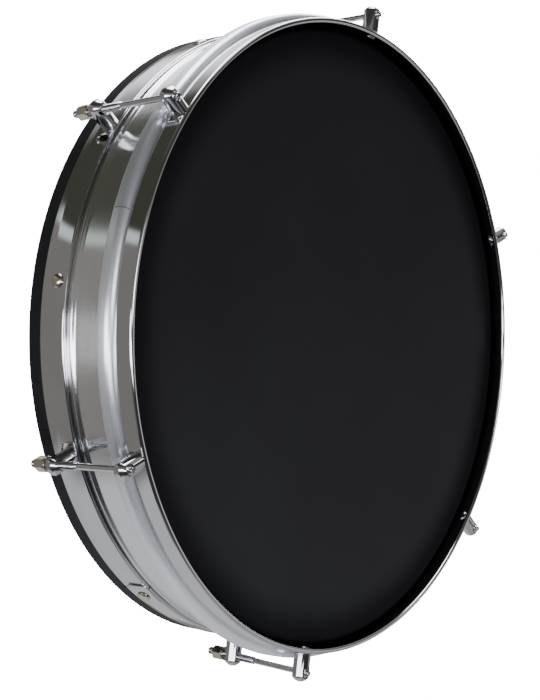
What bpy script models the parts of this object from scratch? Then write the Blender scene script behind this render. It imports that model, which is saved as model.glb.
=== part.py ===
"""Shallow single-headed surdo, lying on its rear rim: +Z is the drum axis,
towards the head; the origin is at the middle of the rear rim's plane.
All driving dimensions are in millimetres and are turned into metres."""
import bpy
import bmesh
import math
from mathutils import Matrix, Vector

MM = 0.001
SEG = 72                    # facets round the drum; every lug sits on a facet
LUGS = 6
LUG_ANGLES = [60.0 * i for i in range(LUGS)]
HOOP_TURN = -0.5            # the counterhoop sits turned by this much
RIVET_ANGLES = [30.0, 92.6, 150.0, 210.0, 270.0, 330.0]

# shell
SHELL_R = 228.5             # outer radius
SHELL_T = 1.5
SHELL_Z0 = 2.0
SHELL_Z1 = 90.7             # top of the bearing edge
BEAD_Z0, BEAD_Z1 = 37.2, 42.8
BEAD_H = 2.0

# rear ring
RING_RI = 228.8
RING_RO = 231.6
RING_Z0, RING_Z1 = 11.7, 34.7
RING_CREASE_Z = 18.8
RING_CREASE_DROP = 1.2      # the strap leans in towards the rear
RING_EDGE = 1.4             # rounding of its front edge
RING_JOINT = 90.7           # angle of its butt joint
SPLICE_ANGLES = [89.3, 92.5, 94.6]
SPLICE_Z1 = 36.3            # the splice plate stands out past the ring
SPLICE_T = 0.9

# rubber trim on the rear edge
TRIM_Z1 = 11.4
TRIM_RO = 230.6
TRIM_RI = 225.0
TRIM_JOINT = 55.65

# head and its hoop
SKIN_T = 1.1
SKIN_TOP = 92.4
SKIN_R = 230.3
SKIN_Z0 = 78.0
FLESH_RI, FLESH_RO = 230.9, 242.0
FLESH_Z0, FLESH_Z1 = 74.1, 86.2
FLESH_FRONT, FLESH_REAR = 5.1, 2.4   # rounding of its outer edges
FLESH_JOINT = 18.6

# counterhoop
HOOP_RI, HOOP_RO = 233.0, 237.0
HOOP_Z0, HOOP_Z1 = 86.5, 101.3

# posts
POST_R = 6.35
FRONT_Z = 94.4
REAR_Z = 28.0
FRONT_END = 257.9
REAR_END = 254.3
POST_DOME = 3.7             # height of a post's rounded end
ROD_FRONT_R = 250.6         # the rods lean out a little towards the front
ROD_REAR_R = 246.5

# rods, nuts, washers
ROD_R = 3.0
SHANK_R = 2.35
THICK_END_Z = 49.2          # the thick threaded part ends here
ROD_TIP_Z = 4.4
SINK_R, SINK_DEPTH = 4.1, 2.0   # round recess in the front post, for the rod's collar
NUT_AF = 10.0
NUT_L = 9.0
NUT_CORNERS = [0.0, 0.0, 30.0, 15.0, 50.0, 35.0]   # where a corner of each nut points
WASHER_R, WASHER_T = 5.4, 1.2
BORE_R = 3.45

# screws and rivets
SCREW_R = 2.4
SCREW_HEAD_R = 4.6
RIVET_Z = 26.0
RIVET_R = 1.9
RIVET_HEAD_R = 5.0
RIVET_HEAD_H = 2.0

GAP = 0.3
FACET = math.cos(math.radians(180.0 / SEG))   # flat of a facet / its corner


for ob in list(bpy.data.objects):
    bpy.data.objects.remove(ob, do_unlink=True)


def material(name, colour, rough, metal):
    m = bpy.data.materials.get(name)
    if m is None:
        m = bpy.data.materials.new(name)
        m.use_nodes = True
        b = m.node_tree.nodes["Principled BSDF"]
        b.inputs["Base Color"].default_value = (*colour, 1.0)
        b.inputs["Roughness"].default_value = rough
        b.inputs["Metallic"].default_value = metal
        m.diffuse_color = (*colour, 1.0)
    return m


CHROME = material("chrome", (0.62, 0.63, 0.64), 0.10, 1.0)
ALU = material("polished_aluminium", (0.72, 0.73, 0.74), 0.16, 1.0)
SATIN = material("satin_aluminium", (0.66, 0.68, 0.71), 0.34, 1.0)
RUBBER = material("black_rubber", (0.018, 0.018, 0.020), 0.60, 0.0)
SKIN = material("black_head", (0.016, 0.017, 0.019), 0.55, 0.0)
BRASSY = material("plated_steel", (0.66, 0.62, 0.50), 0.25, 1.0)


def add_object(name, bm, mat, matrix=None, smooth=True, angle=32.0):
    bmesh.ops.recalc_face_normals(bm, faces=bm.faces)
    me = bpy.data.meshes.new(name)
    bm.to_mesh(me)
    bm.free()
    if smooth:
        me.shade_smooth()
        me.set_sharp_from_angle(angle=math.radians(angle))
    ob = bpy.data.objects.new(name, me)
    bpy.context.collection.objects.link(ob)
    me.materials.append(mat)
    if matrix is not None:
        ob.matrix_world = matrix
    return ob


def drum_angles(start=None, gap=0.0):
    """Facet corners round the drum; with a butt joint, the two ends first
    and last."""
    step = 360.0 / SEG
    corners = [step * (i + 0.5) for i in range(SEG)]
    if start is None:
        return corners, True
    a0, a1 = start + gap / 2, start - gap / 2 + 360.0
    inside = []
    for c in corners + [c + 360.0 for c in corners]:
        if a0 + 0.3 < c < a1 - 0.3:
            inside.append(c)
    return [a0] + sorted(inside) + [a1], False


def corner_radius(r, ang):
    """Radius at an angle of the faceted ring whose corners lie at r."""
    step = 360.0 / SEG
    off = (ang + step / 2) % step - step / 2
    return r * math.cos(math.radians(step / 2)) / math.cos(math.radians(off))


def turned(profile, angles, closed):
    """Turn a closed (r, z) outline round the drum axis."""
    bm = bmesh.new()
    rows = []
    for a in angles:
        c, s = math.cos(math.radians(a)), math.sin(math.radians(a))
        k = 1.0
        if not closed:
            k = corner_radius(1.0, a)
        rows.append([bm.verts.new((r * k * c * MM, r * k * s * MM, z * MM))
                     for r, z in profile])
    n, m = len(profile), len(rows)
    last = m if closed else m - 1
    for i in range(last):
        p, q = rows[i], rows[(i + 1) % m]
        for j in range(n):
            bm.faces.new((p[j], q[j], q[(j + 1) % n], p[(j + 1) % n]))
    if not closed:
        bm.faces.new(list(reversed(rows[0])))
        bm.faces.new(rows[-1])
    return bm


def lathe(profile, sides, turn=0.0):
    """Turn an open (radius, height) outline, axis to axis, round local Z."""
    bm = bmesh.new()
    rings = []
    for r, h in profile:
        if r < 1e-6:
            rings.append([bm.verts.new((0, 0, h * MM))])
        else:
            rings.append([bm.verts.new((r * MM * math.cos(math.radians(turn + 360.0 * i / sides)),
                                        r * MM * math.sin(math.radians(turn + 360.0 * i / sides)),
                                        h * MM)) for i in range(sides)])
    for lo, hi in zip(rings, rings[1:]):
        for i in range(sides):
            j = (i + 1) % sides
            if len(lo) == 1:
                bm.faces.new((lo[0], hi[j], hi[i]))
            elif len(hi) == 1:
                bm.faces.new((lo[i], lo[j], hi[0]))
            else:
                bm.faces.new((lo[i], lo[j], hi[j], hi[i]))
    for f in (rings[0], rings[-1]):
        if len(f) > 2:
            bm.faces.new(f)
    return bm


def tube(outer, inner, h0, h1, sides_out, sides_in, turn=0.0):
    """A short tube: outer n-gon, round bore of another count, by bridging."""
    bm = bmesh.new()

    def loop(r, n, h, t):
        return [bm.verts.new((r * MM * math.cos(math.radians(t + 360.0 * i / n)),
                              r * MM * math.sin(math.radians(t + 360.0 * i / n)),
                              h * MM)) for i in range(n)]
    ol, oh = loop(outer, sides_out, h0, turn), loop(outer, sides_out, h1, turn)
    il, ih = loop(inner, sides_in, h0, turn), loop(inner, sides_in, h1, turn)
    for i in range(sides_out):
        j = (i + 1) % sides_out
        bm.faces.new((ol[i], ol[j], oh[j], oh[i]))
    for i in range(sides_in):
        j = (i + 1) % sides_in
        bm.faces.new((il[j], il[i], ih[i], ih[j]))
    k = sides_in // sides_out
    for o, inn in ((ol, il), (oh, ih)):
        for i in range(sides_out):
            j = (i + 1) % sides_out
            run = [inn[(i * k + t) % sides_in] for t in range(k + 1)]
            bm.faces.new([o[i], o[j]] + list(reversed(run)))
    return bm


def radial(angle, z):
    """Frame at the drum axis: local Z points outward at the angle, local Y
    along the drum axis."""
    a = math.radians(angle)
    zl = Vector((math.cos(a), math.sin(a), 0))
    yl = Vector((0, 0, 1))
    xl = yl.cross(zl)
    m = Matrix((xl, yl, zl)).transposed().to_4x4()
    m.translation = Vector((0, 0, z * MM))
    return m


def rod_point(angle, r, z):
    a = math.radians(angle)
    return Vector((r * math.cos(a), r * math.sin(a), z)) * MM


def rod_frame(angle):
    """Frame on a rod's own line: local Z runs from rear to front, origin at
    the rear post's middle."""
    rear = rod_point(angle, ROD_REAR_R, REAR_Z)
    zl = (rod_point(angle + HOOP_TURN, ROD_FRONT_R, FRONT_Z) - rear).normalized()
    a = math.radians(angle)
    side = Vector((-math.sin(a), math.cos(a), 0))
    xl = side.cross(zl).normalized()
    m = Matrix((xl, zl.cross(xl), zl)).transposed().to_4x4()
    m.translation = rear
    return m


ROD_SLOPE = ((rod_point(HOOP_TURN, ROD_FRONT_R, FRONT_Z) - rod_point(0.0, ROD_REAR_R, REAR_Z)).length
             / MM / (FRONT_Z - REAR_Z))


def along(z):
    """Distance along a rod from the rear post for a height z."""
    return (z - REAR_Z) * ROD_SLOPE


def cut(target, cutters):
    """Subtract each cutter and keep the result as the target's own mesh."""
    for c in cutters:
        c.hide_render = True
        c.display_type = "WIRE"
        mod = target.modifiers.new("cut", "BOOLEAN")
        mod.operation = "DIFFERENCE"
        mod.solver = "EXACT"
        mod.object = c
    bpy.context.view_layer.update()
    deps = bpy.context.evaluated_depsgraph_get()
    me = bpy.data.meshes.new_from_object(target.evaluated_get(deps))
    target.modifiers.clear()
    target.data = me
    for c in cutters:
        bpy.data.objects.remove(c, do_unlink=True)


def drill(name, radius, h0, h1, matrix, sides=12):
    return add_object(name, lathe([(0, h0), (radius, h0), (radius, h1), (0, h1)], sides, 15.0),
                      CHROME, matrix)


# ---- shell -----------------------------------------------------------------
ro, ri = SHELL_R, SHELL_R - SHELL_T
bm_mid = (BEAD_Z0 + BEAD_Z1) / 2
shell_profile = [
    (ro, SHELL_Z0), (ro, BEAD_Z0),
    (ro + BEAD_H * 0.75, bm_mid - 1.9), (ro + BEAD_H, bm_mid),
    (ro + BEAD_H * 0.75, bm_mid + 1.9), (ro, BEAD_Z1),
    (ro, SHELL_Z1 - 2.4), (ro - 0.7, SHELL_Z1 - 0.7), (ro - 2.4, SHELL_Z1),
    (ro - 5.2, SHELL_Z1), (ro - 6.2, SHELL_Z1 - 1.5), (ro - 3.6, SHELL_Z1 - 1.7),
    (ri, SHELL_Z1 - 4.0), (ri, BEAD_Z1 - 0.6),
    (ri + BEAD_H, bm_mid), (ri, BEAD_Z0 + 0.6), (ri, SHELL_Z0)]
angles, closed = drum_angles()
shell = add_object("shell", turned(shell_profile, angles, closed), ALU)

# ---- rear ring, its splice plate and the rubber trim -------------------------
ring_profile = [
    (RING_RI, RING_Z0), (RING_RO - RING_CREASE_DROP, RING_Z0),
    (RING_RO, RING_CREASE_Z), (RING_RO, RING_Z1 - RING_EDGE),
    (RING_RO - RING_EDGE * 0.3, RING_Z1 - RING_EDGE * 0.3), (RING_RO - RING_EDGE, RING_Z1),
    (RING_RI, RING_Z1)]
angles, closed = drum_angles(RING_JOINT, 0.25)
rear_ring = add_object("rear_ring", turned(ring_profile, angles, closed), CHROME)

plate = [(RING_RO + GAP, RING_CREASE_Z + 0.6), (RING_RO + GAP + SPLICE_T, RING_CREASE_Z + 0.6),
         (RING_RO + GAP + SPLICE_T, SPLICE_Z1), (RING_RO + GAP, SPLICE_Z1)]
ring_splice = add_object("ring_splice", turned(plate, SPLICE_ANGLES, False), CHROME)

trim_in, trim_out = SHELL_R - SHELL_T - GAP, SHELL_R + GAP
trim_profile = [
    (TRIM_RI + 1.0, 0.0), (TRIM_RO - 1.5, 0.0), (TRIM_RO - 0.4, 0.4), (TRIM_RO, 1.5),
    (TRIM_RO, TRIM_Z1 - 0.3), (TRIM_RO - 0.3, TRIM_Z1), (trim_out, TRIM_Z1),
    (trim_out, SHELL_Z0 - GAP), (trim_in, SHELL_Z0 - GAP),
    (trim_in, TRIM_Z1), (TRIM_RI, TRIM_Z1), (TRIM_RI, 1.0)]
angles, closed = drum_angles(TRIM_JOINT, 0.12)
rear_edge_trim = add_object("rear_edge_trim", turned(trim_profile, angles, closed), RUBBER)

# ---- head, flesh hoop, counterhoop -------------------------------------------
def skin_mesh():
    """Flat head, turned down over the bearing edge into a collar."""
    top, ro_, ri_ = SKIN_TOP, SKIN_R, SKIN_R - SKIN_T
    outer = [(ro_, SKIN_Z0), (ro_, top - 3.2), (ro_ - 0.9, top - 1.0), (ro_ - 3.0, top), (150.0, top)]
    inner = [(150.0, top - SKIN_T), (ro_ - 3.4, top - SKIN_T), (ri_ - 0.8, top - SKIN_T - 0.9),
             (ri_, top - 3.4), (ri_, SKIN_Z0)]
    bm = bmesh.new()
    angs, _ = drum_angles()
    rows = []
    for r, z in outer + inner:
        rows.append([bm.verts.new((r * MM * math.cos(math.radians(a)),
                                   r * MM * math.sin(math.radians(a)), z * MM)) for a in angs])
    no = len(outer)
    for k in range(len(rows)):
        nxt = (k + 1) % len(rows)
        if k == no - 1:
            continue
        for i in range(SEG):
            j = (i + 1) % SEG
            bm.faces.new((rows[k][i], rows[k][j], rows[nxt][j], rows[nxt][i]))
    ct = bm.verts.new((0, 0, top * MM))
    cb = bm.verts.new((0, 0, (top - SKIN_T) * MM))
    for i in range(SEG):
        j = (i + 1) % SEG
        bm.faces.new((rows[no - 1][i], rows[no - 1][j], ct))
        bm.faces.new((rows[no][j], rows[no][i], cb))
    return bm


head_skin = add_object("head_skin", skin_mesh(), SKIN)

ff, fr = FLESH_FRONT, FLESH_REAR
flesh_profile = [
    (FLESH_RI, FLESH_Z0 + 0.5), (FLESH_RI + 0.5, FLESH_Z0), (FLESH_RO - fr, FLESH_Z0),
    (FLESH_RO - fr * 0.5, FLESH_Z0 + fr * 0.134), (FLESH_RO - fr * 0.134, FLESH_Z0 + fr * 0.5),
    (FLESH_RO, FLESH_Z0 + fr), (FLESH_RO, FLESH_Z1 - ff),
    (FLESH_RO - ff * 0.134, FLESH_Z1 - ff * 0.5), (FLESH_RO - ff * 0.5, FLESH_Z1 - ff * 0.134),
    (FLESH_RO - ff, FLESH_Z1), (FLESH_RI + 0.5, FLESH_Z1), (FLESH_RI, FLESH_Z1 - 0.5)]
angles, closed = drum_angles(FLESH_JOINT, 0.12)
flesh_hoop = add_object("flesh_hoop", turned(flesh_profile, angles, closed), SATIN)

hoop_profile = [
    (HOOP_RI, HOOP_Z0), (HOOP_RO, HOOP_Z0), (HOOP_RO, HOOP_Z1 - 1.6),
    (HOOP_RO - 0.5, HOOP_Z1 - 0.5), (HOOP_RO - 1.6, HOOP_Z1),
    (HOOP_RI + 1.6, HOOP_Z1), (HOOP_RI + 0.5, HOOP_Z1 - 0.5), (HOOP_RI, HOOP_Z1 - 1.6)]
angles, closed = drum_angles()
counterhoop = add_object("counterhoop", turned(hoop_profile, angles, closed), CHROME)

# ---- holes for the screws and rivets -----------------------------------------
cut(counterhoop, [drill("c", SCREW_R + GAP, 225, 245, radial(a + HOOP_TURN, FRONT_Z)) for a in LUG_ANGLES])
cut(shell, [drill("c", SCREW_R + GAP, 215, 240, radial(a, REAR_Z)) for a in LUG_ANGLES]
    + [drill("c", RIVET_R + GAP, 215, 240, radial(a, RIVET_Z)) for a in RIVET_ANGLES])
cut(rear_ring, [drill("c", SCREW_R + GAP, 215, 240, radial(a, REAR_Z)) for a in LUG_ANGLES]
    + [drill("c", RIVET_R + GAP, 215, 240, radial(a, RIVET_Z)) for a in RIVET_ANGLES])
cut(ring_splice, [drill("c", RIVET_R + GAP, 215, 240, radial(RIVET_ANGLES[1], RIVET_Z))])


# ---- the six lugs --------------------------------------------------------------
def post_profile(base, end):
    d = POST_DOME
    return [(0, base), (POST_R - 0.4, base), (POST_R, base + 0.4), (POST_R, end - d),
            (POST_R * 0.93, end - d * 0.80), (POST_R * 0.80, end - d * 0.56),
            (POST_R * 0.55, end - d * 0.24), (POST_R * 0.27, end - d * 0.06), (0, end)]


hoop_face = HOOP_RO * FACET
ring_face = RING_RO * FACET
wall_in = HOOP_RI * FACET
shell_in = (SHELL_R - SHELL_T) * FACET
for i, a in enumerate(LUG_ANGLES, start=1):
    rf = rod_frame(a)
    tf = along(FRONT_Z)
    front, rear = a + HOOP_TURN, a
    post = add_object("front_post_%d" % i, lathe(post_profile(hoop_face + GAP, FRONT_END), 18, 10.0),
                      CHROME, radial(front, FRONT_Z))
    cut(post, [drill("c1", SHANK_R + GAP, tf - 12, tf + 12, rf),
               drill("c2", SINK_R, tf + POST_R - SINK_DEPTH, tf + 12, rf, 16),
               drill("c3", SCREW_R + GAP, hoop_face - 2, hoop_face + GAP + 5.4, radial(front, FRONT_Z))])
    post = add_object("rear_post_%d" % i, lathe(post_profile(ring_face + GAP, REAR_END), 18, 10.0),
                      CHROME, radial(rear, REAR_Z))
    cut(post, [drill("c1", BORE_R, -12, 12, rf),
               drill("c2", SCREW_R + GAP, ring_face - 2, ring_face + GAP + 5.4, radial(rear, REAR_Z))])

    # rod: threaded rear part, thinner shank, a collar in the front post's
    # recess and a short pin beyond it
    t0 = along(ROD_TIP_Z)
    t1 = along(THICK_END_Z)
    seat = tf + POST_R - SINK_DEPTH + GAP
    rod_outline = [(0, t0), (ROD_R - 0.5, t0), (ROD_R, t0 + 0.5), (ROD_R, t1 - 0.8), (SHANK_R, t1),
                   (SHANK_R, seat), (SINK_R - GAP - 0.3, seat), (SINK_R - GAP - 0.3, seat + 0.7),
                   (SHANK_R - 0.3, seat + 1.0), (SHANK_R - 0.3, tf + POST_R + 1.3),
                   (SHANK_R - 0.8, tf + POST_R + 1.8), (0, tf + POST_R + 1.9)]
    add_object("tension_rod_%d" % i, lathe(rod_outline, 12, 15.0), CHROME, rf)

    # washer and nut behind the rear post
    w1 = -(POST_R + 0.85)
    add_object("washer_%d" % i, tube(WASHER_R, BORE_R, w1 - WASHER_T, w1, 12, 12, 15.0), BRASSY, rf)
    n1 = w1 - WASHER_T - GAP
    nut = add_object("hex_nut_%d" % i, tube(NUT_AF / 2 / math.cos(math.radians(30)), BORE_R,
                                            n1 - NUT_L, n1, 6, 12, NUT_CORNERS[i - 1]), BRASSY, rf.copy())
    nut.data.shade_flat()

    # screws from the inside
    for label, turn, z, wall, reach in (("front", front, FRONT_Z, wall_in, hoop_face + GAP + 4.8),
                                        ("rear", rear, REAR_Z, shell_in, ring_face + GAP + 4.8)):
        h = 1.8 if label == "front" else 2.4
        out = [(0, wall - GAP - h), (SCREW_HEAD_R * 0.55, wall - GAP - h * 0.85),
               (SCREW_HEAD_R * 0.9, wall - GAP - h * 0.4), (SCREW_HEAD_R, wall - GAP),
               (SCREW_R, wall - GAP), (SCREW_R, reach), (0, reach)]
        add_object("%s_screw_%d" % (label, i), lathe(out, 12, 15.0), CHROME, radial(turn, z))

for i, a in enumerate(RIVET_ANGLES, start=1):
    outer = RING_RO * FACET + GAP
    if i == 2:              # this one goes through the splice plate
        outer = RING_RO + GAP + SPLICE_T + GAP
    inner = shell_in - GAP
    head = RIVET_HEAD_H
    out = [(0, inner - 1.2), (2.9, inner - 1.0), (2.9, inner), (RIVET_R, inner), (RIVET_R, outer),
           (RIVET_HEAD_R, outer), (RIVET_HEAD_R * 0.90, outer + head * 0.45),
           (RIVET_HEAD_R * 0.62, outer + head * 0.82), (RIVET_HEAD_R * 0.3, outer + head * 0.97),
           (0, outer + head)]
    add_object("rivet_%d" % i, lathe(out, 12, 18.0), BRASSY, radial(a, RIVET_Z))
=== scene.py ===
import math
import bpy
import bmesh
import numpy as np
from mathutils import Matrix, Vector


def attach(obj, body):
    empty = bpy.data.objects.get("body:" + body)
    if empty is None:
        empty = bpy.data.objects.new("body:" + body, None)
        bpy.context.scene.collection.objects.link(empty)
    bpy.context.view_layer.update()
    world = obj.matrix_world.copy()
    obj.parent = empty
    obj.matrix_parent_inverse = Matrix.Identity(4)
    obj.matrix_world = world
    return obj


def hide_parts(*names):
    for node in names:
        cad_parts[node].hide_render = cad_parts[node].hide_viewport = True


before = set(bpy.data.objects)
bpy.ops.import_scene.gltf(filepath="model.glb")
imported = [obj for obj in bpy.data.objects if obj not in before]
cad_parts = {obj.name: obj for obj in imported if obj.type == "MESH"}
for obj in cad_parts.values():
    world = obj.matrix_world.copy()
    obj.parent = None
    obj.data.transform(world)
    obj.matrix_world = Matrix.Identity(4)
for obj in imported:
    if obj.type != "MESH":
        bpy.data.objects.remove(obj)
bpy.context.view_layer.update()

MM = 0.001
SHELL = "shell_body"
HOOP = "hoop"

# The object's own dimensions, in millimetres, as in the CAD model.
LUG_ANGLES = [60.0 * i for i in range(6)]
HOOP_TURN = -0.5
RIVET_ANGLES = [30.0, 92.6, 150.0, 210.0, 270.0, 330.0]
NUT_CORNERS = [0.0, 0.0, 30.0, 15.0, 50.0, 35.0]
FRONT_Z, REAR_Z, RIVET_Z = 94.4, 28.0, 26.0
ROD_FRONT_R, ROD_REAR_R = 250.6, 246.5
FRONT_END, REAR_END = 257.9, 254.3
POST_R = 6.35
SHELL_R, RING_R, HOOP_R = 228.5, 231.6, 237.0
SKIN_TOP, HOOP_TOP = 92.4, 101.3
FINE = 384                  # steps round the drum

# Camera, from the photograph's perspective
CAM_POS = Vector((0.8574, 0.69018, 0.88768))
CAM_RIGHT = Vector((-0.471237, -0.394433, 0.788897))
CAM_UP = Vector((0.627711, -0.778317, -0.014189))
LENS = 92.569


# ---------------------------------------------------------------- materials --
def new_material(name):
    m = bpy.data.materials.new(name)
    m.use_nodes = True
    nt = m.node_tree
    nt.nodes.clear()
    out = nt.nodes.new("ShaderNodeOutputMaterial")
    bsdf = nt.nodes.new("ShaderNodeBsdfPrincipled")
    nt.links.new(bsdf.outputs[0], out.inputs[0])
    return m, nt, bsdf


def node(nt, kind, **sets):
    n = nt.nodes.new(kind)
    for k, v in sets.items():
        if k in n.inputs:
            n.inputs[k].default_value = v
        else:
            setattr(n, k, v)
    return n


def drum_coords(nt):
    """Angle round the drum, distance from its axis, and height: metres."""
    tc = node(nt, "ShaderNodeTexCoord")
    sep = node(nt, "ShaderNodeSeparateXYZ")
    nt.links.new(tc.outputs["Object"], sep.inputs[0])
    ang = node(nt, "ShaderNodeMath", operation="ARCTAN2")
    nt.links.new(sep.outputs["Y"], ang.inputs[0])
    nt.links.new(sep.outputs["X"], ang.inputs[1])
    return tc, sep, ang


def metal(name, colour, rough, rough_var, streak=0.0, streak_scale=600.0, bump=0.0, brushed=0.0, matt=0.0):
    """Bare metal; brushed gives it fine lines round the drum, which spread
    a reflection along the drum axis."""
    m, nt, b = new_material(name)
    b.inputs["Metallic"].default_value = 1.0 - matt
    if brushed:
        b.inputs["Anisotropic"].default_value = brushed
        along_axis = node(nt, "ShaderNodeCombineXYZ")
        along_axis.inputs[2].default_value = 1.0
        nt.links.new(along_axis.outputs[0], b.inputs["Tangent"])
    tc, sep, ang = drum_coords(nt)
    # slow blotches from handling
    blot = node(nt, "ShaderNodeTexNoise", Scale=28.0, Detail=6.0, Roughness=0.6)
    nt.links.new(tc.outputs["Object"], blot.inputs["Vector"])
    # fine lines that run round the drum
    comb = node(nt, "ShaderNodeCombineXYZ")
    sc = node(nt, "ShaderNodeMath", operation="MULTIPLY")
    sc.inputs[1].default_value = 0.9
    nt.links.new(ang.outputs[0], sc.inputs[0])
    zz = node(nt, "ShaderNodeMath", operation="MULTIPLY")
    zz.inputs[1].default_value = streak_scale
    nt.links.new(sep.outputs["Z"], zz.inputs[0])
    nt.links.new(sc.outputs[0], comb.inputs[0])
    nt.links.new(zz.outputs[0], comb.inputs[1])
    line = node(nt, "ShaderNodeTexNoise", Scale=1.0, Detail=4.0, Roughness=0.7)
    nt.links.new(comb.outputs[0], line.inputs["Vector"])
    mix = node(nt, "ShaderNodeMix", data_type="FLOAT")
    mix.inputs[0].default_value = streak
    nt.links.new(blot.outputs["Fac"], mix.inputs[2])
    nt.links.new(line.outputs["Fac"], mix.inputs[3])
    rmap = node(nt, "ShaderNodeMapRange")
    rmap.inputs["From Min"].default_value = 0.3
    rmap.inputs["From Max"].default_value = 0.75
    rmap.inputs["To Min"].default_value = rough
    rmap.inputs["To Max"].default_value = rough + rough_var
    nt.links.new(mix.outputs[0], rmap.inputs["Value"])
    nt.links.new(rmap.outputs[0], b.inputs["Roughness"])
    ramp = node(nt, "ShaderNodeValToRGB")
    ramp.color_ramp.elements[0].position = 0.30
    ramp.color_ramp.elements[0].color = (*[c * 0.90 for c in colour], 1)
    ramp.color_ramp.elements[1].position = 0.70
    ramp.color_ramp.elements[1].color = (*colour, 1)
    nt.links.new(mix.outputs[0], ramp.inputs[0])
    nt.links.new(ramp.outputs[0], b.inputs["Base Color"])
    if bump:
        bp = node(nt, "ShaderNodeBump")
        bp.inputs["Strength"].default_value = bump
        bp.inputs["Distance"].default_value = 0.0001
        nt.links.new(mix.outputs[0], bp.inputs["Height"])
        nt.links.new(bp.outputs[0], b.inputs["Normal"])
    return m


CHROME = metal("polished_chrome", (0.62, 0.625, 0.64), 0.035, 0.04, 0.3, 700.0, 0.02)
MIRROR = metal("mirror_aluminium", (0.80, 0.81, 0.83), 0.15, 0.06, 0.5, 900.0, 0.03, 0.93)
SATIN = metal("satin_aluminium_fine", (0.74, 0.76, 0.80), 0.26, 0.10, 0.9, 700.0, 0.25, 0.80, 0.13)
STEEL = metal("plated_nut_steel", (0.60, 0.57, 0.46), 0.12, 0.12, 0.2, 500.0, 0.05)
HARD = metal("hardware_chrome", (0.57, 0.57, 0.60), 0.03, 0.04, 0.2, 500.0, 0.02)
# The hardware chrome darkened to 0.20: painted shade for the screw heads inside the counterhoop.
SHADED_SCREW_CHROME = metal("screw_chrome_painted_shade", (0.20, 0.20, 0.22), 0.10, 0.08, 0.2, 500.0, 0.02)
ROD = metal("rod_steel", (0.62, 0.63, 0.65), 0.12, 0.10, 0.2, 500.0, 0.05)


def head_material(name, shine, dark, light, edge=1.0):
    m, nt, b = new_material(name)
    b.inputs["Specular IOR Level"].default_value = shine
    tc, sep, ang = drum_coords(nt)
    grain = node(nt, "ShaderNodeTexVoronoi", Scale=1150.0)
    nt.links.new(tc.outputs["Object"], grain.inputs["Vector"])
    soft = node(nt, "ShaderNodeTexNoise", Scale=9.0, Detail=5.0, Roughness=0.55)
    nt.links.new(tc.outputs["Object"], soft.inputs["Vector"])
    ramp = node(nt, "ShaderNodeValToRGB")
    ramp.color_ramp.elements[0].color = (*dark, 1)
    ramp.color_ramp.elements[1].color = (*light, 1)
    nt.links.new(soft.outputs["Fac"], ramp.inputs[0])
    # Painted shade: the base colour is darkened towards the edge, where the counterhoop shades the head.
    flat = node(nt, "ShaderNodeCombineXYZ")         # darker towards the edge
    nt.links.new(sep.outputs[0], flat.inputs[0])
    nt.links.new(sep.outputs[1], flat.inputs[1])
    away = node(nt, "ShaderNodeVectorMath", operation="LENGTH")
    nt.links.new(flat.outputs[0], away.inputs[0])
    fade = node(nt, "ShaderNodeMapRange", interpolation_type="SMOOTHSTEP")
    fade.inputs["From Min"].default_value = 0.196
    fade.inputs["From Max"].default_value = 0.2225
    fade.inputs["To Min"].default_value = 1.0
    fade.inputs["To Max"].default_value = edge
    nt.links.new(away.outputs["Value"], fade.inputs["Value"])
    tone = node(nt, "ShaderNodeVectorMath", operation="SCALE")
    nt.links.new(ramp.outputs[0], tone.inputs[0])
    nt.links.new(fade.outputs[0], tone.inputs["Scale"])
    nt.links.new(tone.outputs[0], b.inputs["Base Color"])
    glow = node(nt, "ShaderNodeMapRange", interpolation_type="SMOOTHSTEP")
    glow.inputs["From Min"].default_value = 0.196
    glow.inputs["From Max"].default_value = 0.2225
    glow.inputs["To Min"].default_value = shine
    glow.inputs["To Max"].default_value = 0.0
    nt.links.new(away.outputs["Value"], glow.inputs["Value"])
    nt.links.new(glow.outputs[0], b.inputs["Specular IOR Level"])
    rmap = node(nt, "ShaderNodeMapRange")
    rmap.inputs["To Min"].default_value = 0.30
    rmap.inputs["To Max"].default_value = 0.38
    nt.links.new(soft.outputs["Fac"], rmap.inputs["Value"])
    nt.links.new(rmap.outputs[0], b.inputs["Roughness"])
    bp = node(nt, "ShaderNodeBump")
    bp.inputs["Strength"].default_value = 0.22
    bp.inputs["Distance"].default_value = 0.00008
    nt.links.new(grain.outputs["Distance"], bp.inputs["Height"])
    nt.links.new(bp.outputs[0], b.inputs["Normal"])
    return m


def rubber_material():
    m, nt, b = new_material("black_trim_rubber")
    tc, sep, ang = drum_coords(nt)
    n = node(nt, "ShaderNodeTexNoise", Scale=420.0, Detail=4.0)
    nt.links.new(tc.outputs["Object"], n.inputs["Vector"])
    ramp = node(nt, "ShaderNodeValToRGB")
    ramp.color_ramp.elements[0].color = (0.011, 0.011, 0.012, 1)
    ramp.color_ramp.elements[1].color = (0.022, 0.022, 0.024, 1)
    nt.links.new(n.outputs["Fac"], ramp.inputs[0])
    nt.links.new(ramp.outputs[0], b.inputs["Base Color"])
    b.inputs["Roughness"].default_value = 0.55
    b.inputs["Specular IOR Level"].default_value = 0.04
    bp = node(nt, "ShaderNodeBump")
    bp.inputs["Strength"].default_value = 0.3
    bp.inputs["Distance"].default_value = 0.0001
    nt.links.new(n.outputs["Fac"], bp.inputs["Height"])
    nt.links.new(bp.outputs[0], b.inputs["Normal"])
    return m


# the head's base colour falls to 0.65 towards its edge: painted shade under the counterhoop
HEAD = head_material("black_leathercloth", 0.06, (0.0062, 0.0061, 0.0065), (0.0105, 0.0106, 0.0118), 0.65)
# A darker, matt copy of the head cloth: painted shade for the edge inside the counterhoop.
SHADED_HEAD_EDGE = head_material("black_leathercloth_edge_painted_shade", 0.0, (0.0042, 0.0042, 0.0046), (0.0068, 0.0068, 0.0075))
RUBBER = rubber_material()


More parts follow.
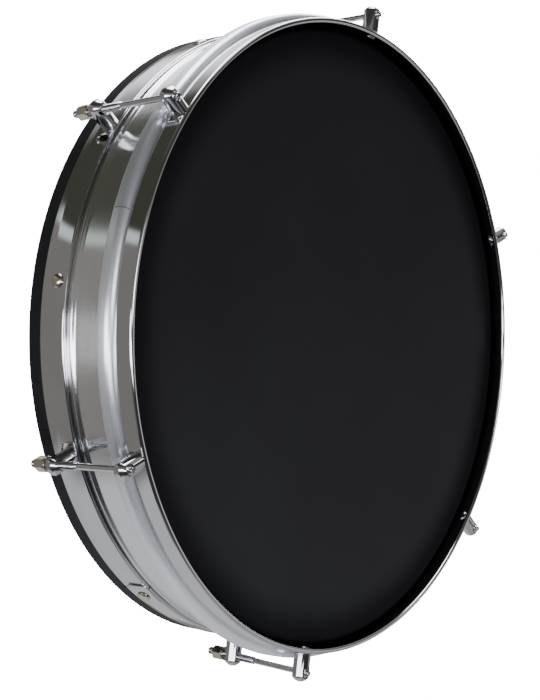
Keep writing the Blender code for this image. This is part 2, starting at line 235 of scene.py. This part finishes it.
# ------------------------------------------------------------- mesh helpers --
def finish_piece(name, bm, mat, matrix=None, angle=30.0):
    bmesh.ops.recalc_face_normals(bm, faces=bm.faces)
    me = bpy.data.meshes.new(name)
    bm.to_mesh(me)
    bm.free()
    if matrix is not None:
        me.transform(matrix)
    me.shade_smooth()
    me.set_sharp_from_angle(angle=math.radians(angle))
    ob = bpy.data.objects.new(name, me)
    bpy.context.collection.objects.link(ob)
    me.materials.append(mat)
    return ob


def turned(profile, start=None, gap_deg=0.0, steps=FINE, sweep=None):
    """A closed (r, z) outline turned round the drum axis, whole or with a
    butt joint."""
    if start is None:
        angles = [360.0 * i / steps for i in range(steps)]
        closed = True
    else:
        a0 = start + gap_deg / 2
        a1 = a0 + (sweep if sweep else 360.0 - gap_deg)
        angles = list(np.linspace(a0, a1, steps + 1))
        closed = False
    bm = bmesh.new()
    rows = []
    for a in angles:
        c, s = math.cos(math.radians(a)), math.sin(math.radians(a))
        rows.append([bm.verts.new((r * c * MM, r * s * MM, z * MM)) for r, z in profile])
    n, m = len(profile), len(rows)
    for i in range(m if closed else m - 1):
        p, q = rows[i], rows[(i + 1) % m]
        for j in range(n):
            bm.faces.new((p[j], q[j], q[(j + 1) % n], p[(j + 1) % n]))
    if not closed:
        bm.faces.new(list(reversed(rows[0])))
        bm.faces.new(rows[-1])
    return bm


def arc(cx, cz, r, a0, a1, n):
    return [(cx + r * math.cos(math.radians(a0 + (a1 - a0) * i / n)),
             cz + r * math.sin(math.radians(a0 + (a1 - a0) * i / n))) for i in range(n + 1)]


def lathe(profile, sides, turn=0.0):
    bm = bmesh.new()
    rings = []
    for r, h in profile:
        if r < 1e-6:
            rings.append([bm.verts.new((0, 0, h * MM))])
        else:
            rings.append([bm.verts.new((r * MM * math.cos(math.radians(turn + 360.0 * i / sides)),
                                        r * MM * math.sin(math.radians(turn + 360.0 * i / sides)),
                                        h * MM)) for i in range(sides)])
    for lo, hi in zip(rings, rings[1:]):
        for i in range(sides):
            j = (i + 1) % sides
            if len(lo) == 1:
                bm.faces.new((lo[0], hi[j], hi[i]))
            elif len(hi) == 1:
                bm.faces.new((lo[i], lo[j], hi[0]))
            else:
                bm.faces.new((lo[i], lo[j], hi[j], hi[i]))
    for f in (rings[0], rings[-1]):
        if len(f) > 2:
            bm.faces.new(f)
    return bm


def radial(angle, z):
    a = math.radians(angle)
    zl = Vector((math.cos(a), math.sin(a), 0))
    yl = Vector((0, 0, 1))
    xl = yl.cross(zl)
    m = Matrix((xl, yl, zl)).transposed().to_4x4()
    m.translation = Vector((0, 0, z * MM))
    return m


def rod_point(angle, r, z):
    a = math.radians(angle)
    return Vector((r * math.cos(a), r * math.sin(a), z)) * MM


def rod_frame(angle):
    rear = rod_point(angle, ROD_REAR_R, REAR_Z)
    zl = (rod_point(angle + HOOP_TURN, ROD_FRONT_R, FRONT_Z) - rear).normalized()
    a = math.radians(angle)
    xl = Vector((-math.sin(a), math.cos(a), 0)).cross(zl).normalized()
    m = Matrix((xl, zl.cross(xl), zl)).transposed().to_4x4()
    m.translation = rear
    return m


SLOPE = ((rod_point(HOOP_TURN, ROD_FRONT_R, FRONT_Z) - rod_point(0.0, ROD_REAR_R, REAR_Z)).length
         / MM / (FRONT_Z - REAR_Z))


def along(z):
    return (z - REAR_Z) * SLOPE


def place(ob, body, *nodes):
    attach(ob, body)
    if nodes:
        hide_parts(*nodes)
    return ob


# -------------------------------------------------------------------- bands --
ro, ri = SHELL_R, 227.0
bead = [(ro + 2.0 * math.cos(math.radians(t)) ** 1.6 if abs(t) < 90 else ro, 40.0 + 2.8 * t / 90.0)
        for t in range(-90, 91, 9)]
bead_in = [(ri + 2.0 * math.cos(math.radians(t)) ** 2 if abs(t) < 90 else ri, 40.0 + 2.4 * t / 90.0)
           for t in range(90, -91, -9)]
shell_profile = ([(ro, 2.0), (ro, 36.6)] + bead + [(ro, 43.4), (ro, 88.3)]
                 + arc(ro - 2.4, 88.3, 2.4, 0, 90, 7)[1:]
                 + [(ro - 5.2, 90.7), (ro - 6.2, 89.2), (ro - 3.6, 89.0), (ri, 86.7), (ri, 44.0)]
                 + bead_in + [(ri, 36.0), (ri, 2.0)])
place(finish_piece("shell_fine", turned(shell_profile), MIRROR), SHELL, "shell")

ring_profile = ([(228.8, 11.7), (230.35, 11.7), (231.5, 18.4), (231.6, 19.2), (231.6, 33.2)]
                + arc(230.2, 33.3, 1.4, 0, 90, 7) + [(228.8, 34.7)])
place(finish_piece("rear_ring_fine", turned(ring_profile, 90.7, 0.25), CHROME), SHELL, "rear_ring")

plate = [(231.9, 19.4), (232.5, 19.4), (232.8, 19.7), (232.8, 36.0), (232.5, 36.3), (231.9, 36.3)]
place(finish_piece("ring_splice_fine", turned(plate, 89.3, 0.0, 24, 5.3), CHROME), SHELL, "ring_splice")

trim_profile = ([(226.0, 0.0), (229.1, 0.0)] + arc(229.1, 1.5, 1.5, -75, 0, 6)
                + [(230.6, 10.8)] + arc(230.0, 10.8, 0.6, 0, 90, 4)
                + [(228.75, 11.4), (228.75, 1.7), (226.75, 1.7), (226.75, 11.4), (225.4, 11.4), (225.0, 11.0),
                   (225.0, 1.0)])
place(finish_piece("rear_edge_trim_fine", turned(trim_profile, 55.65, 0.12), RUBBER), SHELL, "rear_edge_trim")

flesh_profile = ([(230.33, 74.6), (231.4, 74.1), (239.4, 74.1)] + arc(239.6, 76.5, 2.4, -85, 0, 7)
                 + [(242.0, 78.4), (242.0, 80.6)] + arc(236.9, 81.1, 5.1, 0, 85, 12)
                 + [(233.0, 86.2), (231.0, 86.2), (230.33, 85.7)])
flesh = finish_piece("flesh_hoop_fine", turned(flesh_profile, 18.6, 0.12), SATIN)
# the cloth glued into the hoop's inner side gets the darker copy: painted shade
flesh.data.materials.append(SHADED_HEAD_EDGE)
for f in flesh.data.polygons:       # the head's edge is glued into its inner side
    if math.hypot(f.center.x, f.center.y) < 0.2320:
        f.material_index = 1
place(flesh, HOOP, "flesh_hoop")

hoop_profile = ([(233.0, 86.22), (237.0, 86.22), (237.0, 99.7)] + arc(235.4, 99.7, 1.6, 0, 90, 7)[1:]
                + arc(234.6, 99.7, 1.6, 90, 180, 7) + [(233.0, 87.0)])
place(finish_piece("counterhoop_fine", turned(hoop_profile), CHROME), HOOP, "counterhoop")


def head_mesh():
    bm = bmesh.new()
    top = SKIN_TOP
    outline = ([(230.3, 78.0), (230.3, top - 4.2)] + arc(226.3, top - 4.2, 4.0, 0, 80, 9)
               + [(225.4, top - 0.08), (222.0, top), (200.0, top), (150.0, top), (90.0, top), (40.0, top)])
    low = top - 1.1
    under = [(40.0, low), (90.0, low), (150.0, low), (200.0, low), (224.6, low), (227.4, top - 2.2),
             (229.1, top - 4.6), (229.2, 78.0)]
    rows = []
    for r, z in outline + under:
        rows.append([bm.verts.new((r * MM * math.cos(2 * math.pi * i / FINE),
                                   r * MM * math.sin(2 * math.pi * i / FINE), z * MM)) for i in range(FINE)])
    cut = len(outline) - 1
    for k in range(len(rows)):
        if k == cut:
            continue
        n = (k + 1) % len(rows)
        for i in range(FINE):
            j = (i + 1) % FINE
            bm.faces.new((rows[k][i], rows[k][j], rows[n][j], rows[n][i]))
    ct, cb = bm.verts.new((0, 0, top * MM)), bm.verts.new((0, 0, low * MM))
    for i in range(FINE):
        j = (i + 1) % FINE
        bm.faces.new((rows[cut][i], rows[cut][j], ct))
        bm.faces.new((rows[cut + 1][j], rows[cut + 1][i], cb))
    return bm


skin = finish_piece("head_skin_fine", head_mesh(), HEAD)
skin.data.materials.append(SHADED_HEAD_EDGE)
for f in skin.data.polygons:        # the cloth is matt where it turns down; its darker colour there is painted shade inside the counterhoop
    if math.hypot(f.center.x, f.center.y) > 0.2215:
        f.material_index = 1
place(skin, SHELL, "head_skin")


# --------------------------------------------------------------------- lugs --
def post_profile(base, end):
    """A plain turned post with a domed end."""
    dome = 3.7
    ball = (POST_R ** 2 + dome ** 2) / (2 * dome)
    pts = [(0, base), (POST_R - 0.3, base), (POST_R, base + 0.3), (POST_R, end - dome - 0.4),
           (POST_R - 0.06, end - dome - 0.05)]
    for k in (0.97, 0.93, 0.88, 0.81, 0.73, 0.64, 0.54, 0.42, 0.28, 0.14):
        r = POST_R * k
        pts.append((r, end - ball + math.sqrt(ball ** 2 - r ** 2)))
    pts.append((0, end))
    return pts


def carve(ob, cutters):
    """Cut each tool body out of a piece."""
    for c in cutters:
        mod = ob.modifiers.new("cut", "BOOLEAN")
        mod.operation = "DIFFERENCE"
        mod.solver = "EXACT"
        mod.object = c
    bpy.context.view_layer.update()
    me = bpy.data.meshes.new_from_object(ob.evaluated_get(bpy.context.evaluated_depsgraph_get()))
    ob.modifiers.clear()
    ob.data = me
    me.shade_smooth()
    me.set_sharp_from_angle(angle=math.radians(30.0))
    for c in cutters:
        bpy.data.objects.remove(c, do_unlink=True)
    return ob


def threaded_rod(t0, t1, tf, radius=3.0, shank=2.35, pitch=1.0, sides=28):
    """Rod with a cut thread on its rear part; local Z from rear to front."""
    steps = 8
    n = int((t1 - t0 - 0.8) / pitch * steps)
    rings = []
    bm = bmesh.new()

    def ring(r_of, h):
        return [bm.verts.new((r_of(2 * math.pi * i / sides) * MM * math.cos(2 * math.pi * i / sides),
                              r_of(2 * math.pi * i / sides) * MM * math.sin(2 * math.pi * i / sides),
                              h * MM)) for i in range(sides)]
    tip = bm.verts.new((0, 0, t0 * MM))
    rings.append(ring(lambda a: radius - 0.5, t0))
    for k in range(n + 1):
        h = t0 + 0.6 + k * pitch / steps
        fade = min(1.0, k / (1.5 * steps), (n - k) / (2.0 * steps))

        def r_of(a, h=h, fade=fade):
            ph = (h / pitch - a / (2 * math.pi)) % 1.0
            tri = abs(ph - 0.5) * 2.0
            return radius - 0.62 * fade * max(0.0, min(1.0, (tri - 0.12) / 0.76)) - 0.02
        rings.append(ring(r_of, h))
    seat = tf + POST_R - 1.7
    pin = shank - 0.3
    for r, h in ((radius - 0.05, t1 - 0.1), (shank, t1 + 0.5), (shank, seat), (3.5, seat + 0.05),
                 (3.5, seat + 0.6), (pin + 0.1, seat + 1.0), (pin, seat + 1.2), (pin, tf + POST_R + 1.4),
                 (pin - 0.5, tf + POST_R + 1.9)):
        rings.append(ring(lambda a, r=r: r, h))
    for lo, hi in zip(rings, rings[1:]):
        for i in range(sides):
            j = (i + 1) % sides
            bm.faces.new((lo[i], lo[j], hi[j], hi[i]))
    for i in range(sides):
        j = (i + 1) % sides
        bm.faces.new((tip, rings[0][j], rings[0][i]))
    bm.faces.new(rings[-1])
    return bm


def hex_nut(h0, h1, corner, af=10.0, bore=3.42, per=12):
    """Hexagon nut with chamfered corners and a countersunk bore."""
    bm = bmesh.new()
    sides = 6 * per
    rows = []

    def hexr(a):
        d = (a % 60.0) - 30.0
        return af / 2 / math.cos(math.radians(d))
    flat = af / 2 * 0.96
    tan = math.tan(math.radians(30))
    angs = [360.0 * i / sides for i in range(sides)]

    def row(rf, hf):
        rows.append([bm.verts.new((rf(a) * MM * math.cos(math.radians(a + corner)),
                                   rf(a) * MM * math.sin(math.radians(a + corner)), hf(a) * MM)) for a in angs])
    row(lambda a: bore, lambda a: h0 + 0.7)
    row(lambda a: bore + 0.4, lambda a: h0)
    row(lambda a: flat, lambda a: h0)
    row(lambda a: hexr(a), lambda a: h0 + (hexr(a) - flat) * tan)
    row(lambda a: hexr(a), lambda a: h1 - (hexr(a) - flat) * tan)
    row(lambda a: flat, lambda a: h1)
    row(lambda a: bore + 0.4, lambda a: h1)
    row(lambda a: bore, lambda a: h1 - 0.7)
    m = len(rows)
    for k in range(m):
        p, q = rows[k], rows[(k + 1) % m]
        for i in range(sides):
            j = (i + 1) % sides
            bm.faces.new((p[i], p[j], q[j], q[i]))
    return bm


def washer_mesh(h0, h1, outer=5.4, bore=3.42, sides=48):
    bm = bmesh.new()
    prof = [(bore, h0 + 0.1), (bore + 0.1, h0), (outer - 0.2, h0), (outer, h0 + 0.2), (outer, h1 - 0.2),
            (outer - 0.2, h1), (bore + 0.1, h1), (bore, h1 - 0.1)]
    rows = [[bm.verts.new((r * MM * math.cos(2 * math.pi * i / sides), r * MM * math.sin(2 * math.pi * i / sides),
                           h * MM)) for i in range(sides)] for r, h in prof]
    for k in range(len(rows)):
        p, q = rows[k], rows[(k + 1) % len(rows)]
        for i in range(sides):
            j = (i + 1) % sides
            bm.faces.new((p[i], p[j], q[j], q[i]))
    return bm


for i, a in enumerate(LUG_ANGLES, start=1):
    rf = rod_frame(a)
    tf = along(FRONT_Z)
    front = a + HOOP_TURN
    post = finish_piece("front_post_fine_%d" % i, lathe(post_profile(HOOP_R + 0.05, FRONT_END), 64), HARD,
                        radial(front, FRONT_Z))
    sink = finish_piece("sink", lathe([(0, tf), (2.6, tf), (2.6, tf + POST_R - 2.0), (3.6, tf + POST_R - 2.0),
                                       (4.6, tf + POST_R + 0.4), (4.6, tf + 12), (0, tf + 12)], 40), HARD, rf)
    bore = finish_piece("bore", lathe([(0, tf - 12), (2.6, tf - 12), (2.6, tf - 0.05), (0, tf - 0.05)], 40), HARD, rf)
    place(carve(post, [sink, bore]), HOOP, "front_post_%d" % i)
    post = finish_piece("rear_post_fine_%d" % i, lathe(post_profile(RING_R + 0.05, REAR_END), 64), HARD,
                        radial(a, REAR_Z))
    bore = finish_piece("bore", lathe([(0, -12), (4.4, -12), (4.4, -POST_R + 0.1), (3.4, -POST_R + 1.1), (3.4, POST_R - 1.1),
                                       (4.4, POST_R - 0.1), (4.4, 12), (0, 12)], 40), HARD, rf)
    place(carve(post, [bore]), SHELL, "rear_post_%d" % i)
    place(finish_piece("tension_rod_fine_%d" % i, threaded_rod(along(4.4), along(49.2), tf),
                       ROD, rf, 40.0), HOOP, "tension_rod_%d" % i)
    w1 = -(POST_R + 0.85)
    place(finish_piece("washer_fine_%d" % i, washer_mesh(w1 - 1.2, w1), STEEL, rf), SHELL, "washer_%d" % i)
    n1 = w1 - 1.5
    nut = finish_piece("hex_nut_fine_%d" % i, hex_nut(n1 - 9.0, n1, NUT_CORNERS[i - 1]), STEEL, rf, 20.0)
    place(nut, "nut_%d" % i, "hex_nut_%d" % i)
    for label, turn, z, wall, reach, body, h in (("front", front, FRONT_Z, 232.95, 242.0, HOOP, 1.9),
                                                 ("rear", a, REAR_Z, 226.95, 237.0, SHELL, 2.4)):
        out = [(0, wall - h)]
        for k in range(1, 9):
            t = math.radians(90.0 * k / 8)
            out.append((4.6 * math.sin(t), wall - h * math.cos(t) if k < 8 else wall - 0.15))
        out += [(4.6, wall), (2.4, wall), (2.4, reach), (0, reach)]
        # the front screws inside the counterhoop get the darkened chrome: painted shade
        place(finish_piece("%s_screw_fine_%d" % (label, i), lathe(out, 40), SHADED_SCREW_CHROME if label == "front" else HARD, radial(turn, z)), body,
              "%s_screw_%d" % (label, i))

for i, a in enumerate(RIVET_ANGLES, start=1):
    outer = 232.85 if i == 2 else 231.65
    inner = 226.95
    out = [(0, inner - 1.2), (2.4, inner - 1.1), (2.9, inner - 0.7), (2.9, inner), (1.9, inner), (1.9, outer),
           (4.9, outer)]
    for k in range(1, 10):
        t = math.radians(90.0 * k / 9)
        out.append((5.0 * math.cos(t) if k < 9 else 0, outer + 0.2 + 2.0 * math.sin(t)))
    place(finish_piece("rivet_fine_%d" % i, lathe(out, 40), STEEL, radial(a, RIVET_Z)), SHELL, "rivet_%d" % i)


# -------------------------------------------------------------------- stage --
bm = bmesh.new()
vs = [bm.verts.new((x, y, -0.0002)) for x, y in ((-6, -6), (6, -6), (6, 6), (-6, 6))]
bm.faces.new(vs)
floor_me = bpy.data.meshes.new("floor")
bm.to_mesh(floor_me)
bm.free()
floor = bpy.data.objects.new("floor", floor_me)
bpy.context.collection.objects.link(floor)
fm, nt, b = new_material("pale_floor")
b.inputs["Base Color"].default_value = (0.93, 0.93, 0.93, 1)
b.inputs["Roughness"].default_value = 0.9
b.inputs["Specular IOR Level"].default_value = 0.0
b.inputs["Emission Color"].default_value = (1, 1, 1, 1)
b.inputs["Emission Strength"].default_value = 18.0
floor_me.materials.append(fm)
floor.visible_glossy = False
floor.visible_diffuse = False

# ------------------------------------------------------------- surroundings --
# The studio that the metal mirrors. Directions are told by two angles round
# the camera's own axes: lat is the height over the camera's horizontal
# plane, lon goes from 0 towards the camera to 90 at its right.
world = bpy.context.scene.world or bpy.data.worlds.new("room")
bpy.context.scene.world = world
world.use_nodes = True
wt = world.node_tree
wt.nodes.clear()
wo = wt.nodes.new("ShaderNodeOutputWorld")
bg = wt.nodes.new("ShaderNodeBackground")
wt.links.new(bg.outputs[0], wo.inputs[0])
tc = wt.nodes.new("ShaderNodeTexCoord")


def calc(op, *args):
    n = wt.nodes.new("ShaderNodeMath")
    n.operation = op
    for k, v in enumerate(args):
        if isinstance(v, (int, float)):
            n.inputs[k].default_value = v
        else:
            wt.links.new(v, n.inputs[k])
    return n.outputs[0]


def part_along(axis):
    n = wt.nodes.new("ShaderNodeVectorMath")
    n.operation = "DOT_PRODUCT"
    wt.links.new(tc.outputs["Generated"], n.inputs[0])
    n.inputs[1].default_value = axis
    return n.outputs["Value"]


def step(v, lo, hi):
    n = wt.nodes.new("ShaderNodeMapRange")
    n.interpolation_type = "SMOOTHSTEP"
    n.inputs["From Min"].default_value = lo
    n.inputs["From Max"].default_value = hi
    wt.links.new(v, n.inputs["Value"])
    return n.outputs["Result"]


def between(v, lo, hi, soft):
    return calc("MULTIPLY", step(v, lo - soft, lo + soft), calc("SUBTRACT", 1.0, step(v, hi - soft, hi + soft)))


def both(*masks):
    out = masks[0]
    for m_ in masks[1:]:
        out = calc("MULTIPLY", out, m_)
    return out


def direction(lon_, lat_):
    lo, la = math.radians(lon_), math.radians(lat_)
    back_ = CAM_RIGHT.cross(CAM_UP).normalized()
    return (CAM_RIGHT * math.sin(lo) + back_ * math.cos(lo)) * math.cos(la) + CAM_UP * math.sin(la)


def cap(lon_, lat_, radius, soft):
    """Round patch of the sky of this radius in degrees."""
    c = part_along(direction(lon_, lat_))
    return step(c, math.cos(math.radians(radius + soft)), math.cos(math.radians(radius - soft)))


lat = calc("MULTIPLY", calc("ARCSINE", part_along(CAM_UP)), 180.0 / math.pi)
lon = calc("MULTIPLY", calc("ARCTAN2", part_along(CAM_RIGHT), part_along(CAM_RIGHT.cross(CAM_UP).normalized())),
           180.0 / math.pi)
around = calc("ABSOLUTE", lon)
room = [None]


def lay(mask, colour):
    n = wt.nodes.new("ShaderNodeMix")
    n.data_type = "RGBA"
    n.clamp_factor = True
    n.inputs[7].default_value = (*colour, 1)
    if room[0] is None:
        n.inputs[6].default_value = (*colour, 1)
    else:
        wt.links.new(room[0], n.inputs[6])
    if mask is not None:
        wt.links.new(mask, n.inputs[0])
    room[0] = n.outputs[2]


def flip(mask):
    return calc("SUBTRACT", 1.0, mask)


WALL = (0.275, 0.262, 0.245)
lay(None, WALL)                                                             # brown-grey room
lay(step(lat, 58.0, 70.0), (0.17, 0.17, 0.165))                             # ceiling
lay(both(between(lat, 27.5, 57.0, 2.5), between(lon, -136.0, 84.0, 9.0)), (0.073, 0.073, 0.058))
lay(both(between(lat, 56.0, 66.0, 4.0), between(lon, -140.0, 50.0, 10.0)), (0.115, 0.115, 0.11))
lay(both(between(lat, 12.0, 38.0, 4.0), between(lon, 36.0, 100.0, 8.0)), (0.062, 0.063, 0.062))
lay(both(between(lat, 6.0, 23.0, 2.5), between(lon, 72.0, 113.0, 5.0)), (0.045, 0.046, 0.05))
lay(both(between(lat, 38.0, 53.0, 2.0), between(lon, 76.0, 146.0, 5.0)), (0.42, 0.42, 0.43))
lay(both(between(lat, 50.0, 70.0, 2.0), between(lon, 100.0, 146.0, 5.0)), (0.42, 0.42, 0.43))
lay(both(between(lat, 34.0, 66.0, 5.0), step(around, 130.0, 146.0)), (0.60, 0.60, 0.60))
lay(both(flip(step(lon, -158.0, -142.0)), between(lat, 32.0, 72.0, 5.0)), (1.9, 1.9, 2.0))    # backdrop, left
lay(both(step(lon, 142.0, 151.0), between(lat, -2.0, 62.0, 4.0)), (6.0, 6.0, 6.3))             # and behind
lay(both(cap(150.0, 68.0, 33.0, 3.0), flip(both(between(lon, -20.0, 146.0, 5.0), flip(step(lat, 63.0, 69.0)))),
         flip(both(flip(step(lon, -130.0, -110.0)), flip(step(lat, 66.0, 74.0))))), (10.0, 10.0, 10.4))
lay(both(between(lat, 25.0, 28.0, 1.0), between(lon, -112.0, -76.0, 4.0)), (0.9, 1.0, 0.97))   # far window
lay(both(between(lat, -37.0, -14.0, 3.0), between(lon, -66.0, 66.0, 12.0)), (0.14, 0.135, 0.13))
lay(both(between(lat, -36.0, -13.0, 3.0), between(lon, -4.0, 62.0, 8.0)), (0.045, 0.044, 0.048))
lay(both(between(lat, -15.0, 8.0, 2.5), between(lon, 2.0, 64.0, 4.0)), (0.05, 0.05, 0.055))
lay(both(between(lat, -60.0, -12.0, 5.0), step(lon, 68.0, 80.0)), (0.42, 0.42, 0.42))          # table
lay(both(flip(step(lat, -28.0, -22.0)), step(around, 92.0, 108.0)), (0.68, 0.69, 0.70))
lay(both(flip(step(lat, -28.0, -20.0)), step(lon, 68.0, 80.0)), (0.48, 0.48, 0.48))
lay(flip(step(calc("ADD", lat, calc("MULTIPLY", step(lon, -20.0, 40.0), 10.0)), -41.0, -35.0)), (0.74, 0.75, 0.76))
lay(both(flip(step(lat, -64.0, -44.0)), step(lon, -10.0, 60.0)), (0.50, 0.50, 0.50))
lay(both(between(lat, -68.0, -55.0, 3.0), between(lon, -88.0, 44.0, 6.0)), (0.26, 0.26, 0.265))
lay(both(between(lat, -55.0, -30.0, 3.0), between(lon, -74.0, 60.0, 6.0)), (0.05, 0.05, 0.055))   # below the camera
lay(both(between(lat, -27.0, -2.0, 3.0), between(lon, 48.0, 98.0, 4.0)), (0.05, 0.05, 0.055))
# soft box in front, in three parts, and the lit side wall
lay(both(between(lat, -9.0, 6.0, 2.0), between(lon, -58.0, -6.0, 4.0)), (8.0, 8.0, 8.5))
lay(both(between(lat, -12.5, -2.5, 1.5), between(lon, -8.0, 26.0, 4.0)), (8.0, 8.0, 8.5))
lay(both(between(lat, 1.5, 10.0, 1.5), between(lon, 32.0, 76.0, 5.0)), (6.0, 6.0, 6.4))
lay(both(between(lat, -11.0, 0.0, 2.0), between(lon, 99.0, 116.0, 3.0)), (0.80, 0.80, 0.83))
lay(both(between(lat, 25.0, 33.0, 1.5), between(lon, 84.0, 95.0, 2.0)), (2.5, 2.5, 2.6))

lp = wt.nodes.new("ShaderNodeLightPath")
mixw = wt.nodes.new("ShaderNodeMix")
mixw.data_type = "RGBA"
wt.links.new(lp.outputs["Is Camera Ray"], mixw.inputs[0])
wt.links.new(room[0], mixw.inputs[6])
mixw.inputs[7].default_value = (18, 18, 18, 1)
soft_fill = wt.nodes.new("ShaderNodeMix")
soft_fill.data_type = "RGBA"
wt.links.new(lp.outputs["Is Diffuse Ray"], soft_fill.inputs[0])
wt.links.new(mixw.outputs[2], soft_fill.inputs[6])
soft_fill.inputs[7].default_value = (0.45, 0.46, 0.50, 1)
wt.links.new(soft_fill.outputs[2], bg.inputs[0])
bg.inputs["Strength"].default_value = 1.0


def area(name, pos, target, size, power, colour=(1, 1, 1)):
    d = bpy.data.lights.new(name, "AREA")
    d.shape = "RECTANGLE"
    d.size, d.size_y = size
    d.energy = power
    d.color = colour
    ob = bpy.data.objects.new(name, d)
    ob.location = pos
    ob.rotation_euler = (Vector(target) - Vector(pos)).to_track_quat("-Z", "Y").to_euler()
    bpy.context.collection.objects.link(ob)
    return ob


key = area("key_light", (-0.1, 0.62, 0.62), (0, 0, 0.09), (0.6, 0.6), 12.0, (0.95, 0.97, 1.0))
key.visible_glossy = False

# ------------------------------------------------------------------- camera --
cam_data = bpy.data.cameras.new("camera")
cam = bpy.data.objects.new("camera", cam_data)
bpy.context.collection.objects.link(cam)
right = CAM_RIGHT.normalized()
up = (CAM_UP - right * CAM_UP.dot(right)).normalized()
back = right.cross(up)
m = Matrix((right, up, back)).transposed().to_4x4()
m.translation = CAM_POS
cam.matrix_world = m
cam_data.sensor_fit = "AUTO"
cam_data.sensor_width = 36.0
cam_data.lens = LENS
cam_data.clip_start = 0.01
cam_data.clip_end = 50
bpy.context.scene.camera = cam
